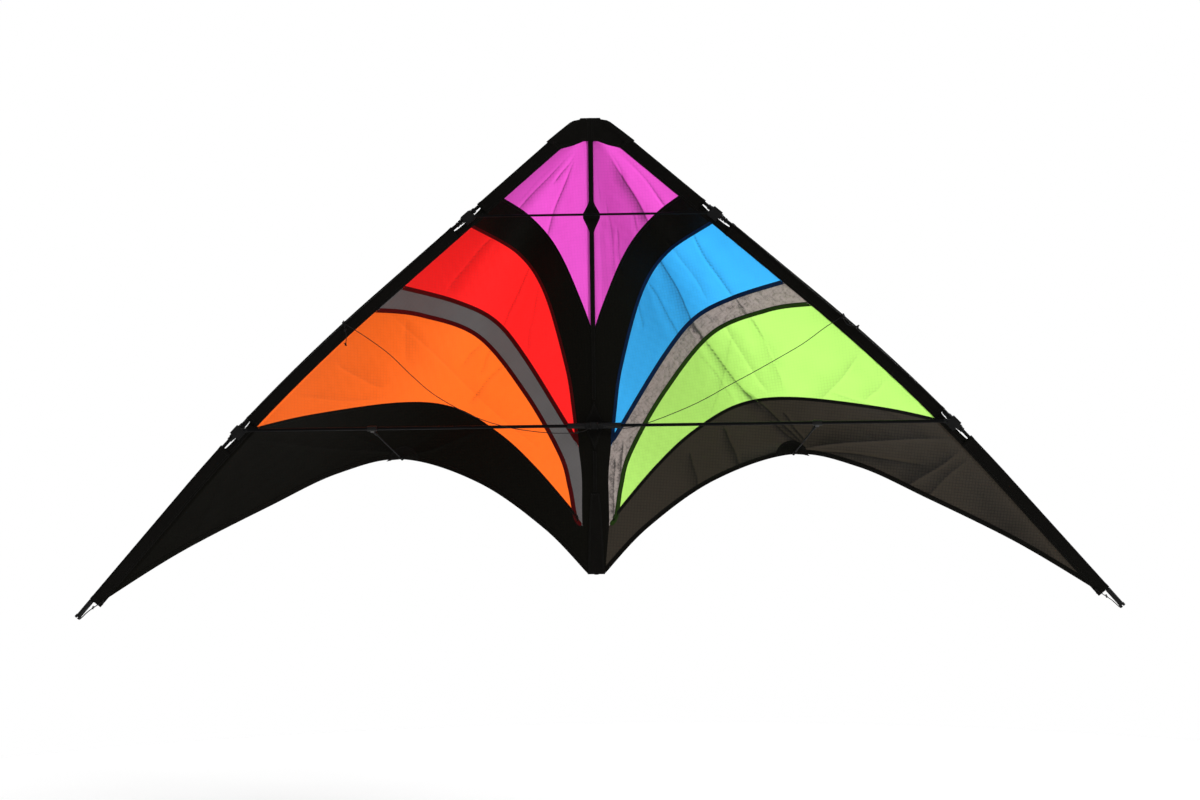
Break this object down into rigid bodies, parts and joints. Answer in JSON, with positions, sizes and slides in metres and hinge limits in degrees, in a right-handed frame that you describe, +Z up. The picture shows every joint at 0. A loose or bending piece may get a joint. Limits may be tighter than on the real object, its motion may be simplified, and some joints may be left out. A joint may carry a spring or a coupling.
{
  "type": "dual-line delta kite",
  "caption": "Stretched-delta sport kite with curved leading edges, coloured and black ripstop panels, spreaders, stand-offs and a bridle on each side; the frame folds to the spine.",
  "frame": {"origin": "Middle of the top edge of the nose webbing, where the kite hangs", "axes": "+X to the right as the pilot sees it, along the span; +Z up along the spine; +Y back, away from the pilot, so the spreaders face -Y"},
  "size_m": [1.8112, 0.181, 0.8547],
  "materials": {
    "carbon_rod": "satin carbon tube",
    "glass_rod": "satin black glass-fibre rod",
    "moulded_rubber": "matt moulded rubber with a slight sheen",
    "bridle_line": "braided black line",
    "sleeve_cloth": "black polyester sleeve cloth",
    "webbing": "heavy black nose webbing",
    "patch_cloth": "black reinforcement cloth",
    "black_cloth": "black ripstop cloth",
    "brown_black_cloth": "thin black ripstop cloth that lets light through",
    "magenta_cloth": "magenta ripstop cloth, translucent",
    "red_cloth": "red ripstop cloth, translucent",
    "blue_cloth": "blue ripstop cloth, translucent",
    "orange_cloth": "orange ripstop cloth, translucent",
    "lime_cloth": "lime ripstop cloth, translucent",
    "dark_grey_cloth": "dark grey ripstop cloth",
    "silver_grey_cloth": "silver-grey crinkled cloth"
  },
  "bodies": {
    "root": {"nose_webbing": "webbing", "spine_rod": "carbon_rod", "spine_top_cap": "moulded_rubber", "spine_tail_nock": "moulded_rubber", "spine_sleeve": "sleeve_cloth", "spine_tape": "sleeve_cloth", "upper_diamond": "patch_cloth", "lower_diamond": "patch_cloth", "tail_patch": "sleeve_cloth", "centre_cross": "moulded_rubber", "nose_panel_left": "magenta_cloth", "nose_panel_right": "magenta_cloth", "arc_panel_left": "black_cloth", "arc_panel_right": "black_cloth", "red_panel": "red_cloth", "blue_panel": "blue_cloth", "grey_band_left": "dark_grey_cloth", "grey_band_right": "silver_grey_cloth", "orange_panel": "orange_cloth", "lime_panel": "lime_cloth", "trailing_panel_left": "black_cloth", "trailing_panel_right": "brown_black_cloth", "standoff_patch_left": "patch_cloth", "standoff_patch_right": "patch_cloth"},
    "wing_left": {"leading_rod_upper_left": "carbon_rod", "leading_rod_lower_left": "carbon_rod", "leading_ferrule_left": "carbon_rod", "leading_cap_left": "moulded_rubber", "wingtip_nock_left": "moulded_rubber", "leading_sleeve_left": "sleeve_cloth", "upper_connector_left": "moulded_rubber", "lower_connector_left": "moulded_rubber", "outhaul_left": "bridle_line", "inhaul_left": "bridle_line", "pigtail_left": "bridle_line"},
    "wing_right": {"leading_rod_upper_right": "carbon_rod", "leading_rod_lower_right": "carbon_rod", "leading_ferrule_right": "carbon_rod", "leading_cap_right": "moulded_rubber", "wingtip_nock_right": "moulded_rubber", "leading_sleeve_right": "sleeve_cloth", "upper_connector_right": "moulded_rubber", "lower_connector_right": "moulded_rubber", "outhaul_right": "bridle_line", "inhaul_right": "bridle_line", "pigtail_right": "bridle_line"},
    "lower_spreader_left": {"cross_arm_left": "moulded_rubber", "lower_spreader_left": "carbon_rod", "lower_spreader_cap_left": "moulded_rubber", "standoff_clip_left": "moulded_rubber"},
    "lower_spreader_right": {"cross_arm_right": "moulded_rubber", "lower_spreader_right": "carbon_rod", "lower_spreader_cap_right": "moulded_rubber", "standoff_clip_right": "moulded_rubber"},
    "upper_spreader": {"upper_spreader": "carbon_rod", "upper_spreader_caps": "moulded_rubber"},
    "standoff_left": {"standoff_left": "glass_rod"},
    "standoff_right": {"standoff_right": "glass_rod"}
  },
  "joints": [
    {"name": "wing_fold_left", "type": "hinge", "parent": "root", "child": "wing_left", "pos_m": [-0.032, 0, -0.011], "axis": [0, -1, 0], "range_deg": [0, 42], "deforming": ["nose_panel_left", "arc_panel_left", "red_panel", "grey_band_left", "orange_panel", "trailing_panel_left", "standoff_patch_left", "inhaul_left"]},
    {"name": "wing_fold_right", "type": "hinge", "parent": "root", "child": "wing_right", "pos_m": [0.032, 0, -0.011], "axis": [0, 1, 0], "range_deg": [0, 42], "deforming": ["nose_panel_right", "arc_panel_right", "blue_panel", "grey_band_right", "lime_panel", "trailing_panel_right", "standoff_patch_right", "inhaul_right"]},
    {"name": "lower_spreader_swing_left", "type": "hinge", "parent": "root", "child": "lower_spreader_left", "pos_m": [-0.012, -0.011, -0.53], "axis": [0, -1, 0], "range_deg": [0, 84]},
    {"name": "lower_spreader_swing_right", "type": "hinge", "parent": "root", "child": "lower_spreader_right", "pos_m": [0.012, -0.011, -0.53], "axis": [0, 1, 0], "range_deg": [0, 84]},
    {"name": "upper_spreader_turn", "type": "hinge", "parent": "root", "child": "upper_spreader", "pos_m": [0, -0.011, -0.167], "axis": [0, 1, 0], "range_deg": [0, 84]},
    {"name": "standoff_fold_left", "type": "hinge", "parent": "lower_spreader_left", "child": "standoff_left", "pos_m": [-0.383, -0.00348, -0.53274], "axis": [0, -0.342, -0.9397], "range_deg": [0, 77]},
    {"name": "standoff_fold_right", "type": "hinge", "parent": "lower_spreader_right", "child": "standoff_right", "pos_m": [0.383, -0.00348, -0.53274], "axis": [0, 0.342, 0.9397], "range_deg": [0, 77]}
  ],
  "couplings": [
    {"joint": "wing_fold_right", "follows": "wing_fold_left", "ratio": 1},
    {"joint": "lower_spreader_swing_left", "follows": "wing_fold_left", "ratio": 2},
    {"joint": "lower_spreader_swing_right", "follows": "wing_fold_left", "ratio": 2},
    {"joint": "upper_spreader_turn", "follows": "wing_fold_left", "ratio": 2},
    {"joint": "standoff_fold_left", "follows": "wing_fold_left", "ratio": 1.83},
    {"joint": "standoff_fold_right", "follows": "wing_fold_left", "ratio": 1.83}
  ]
}
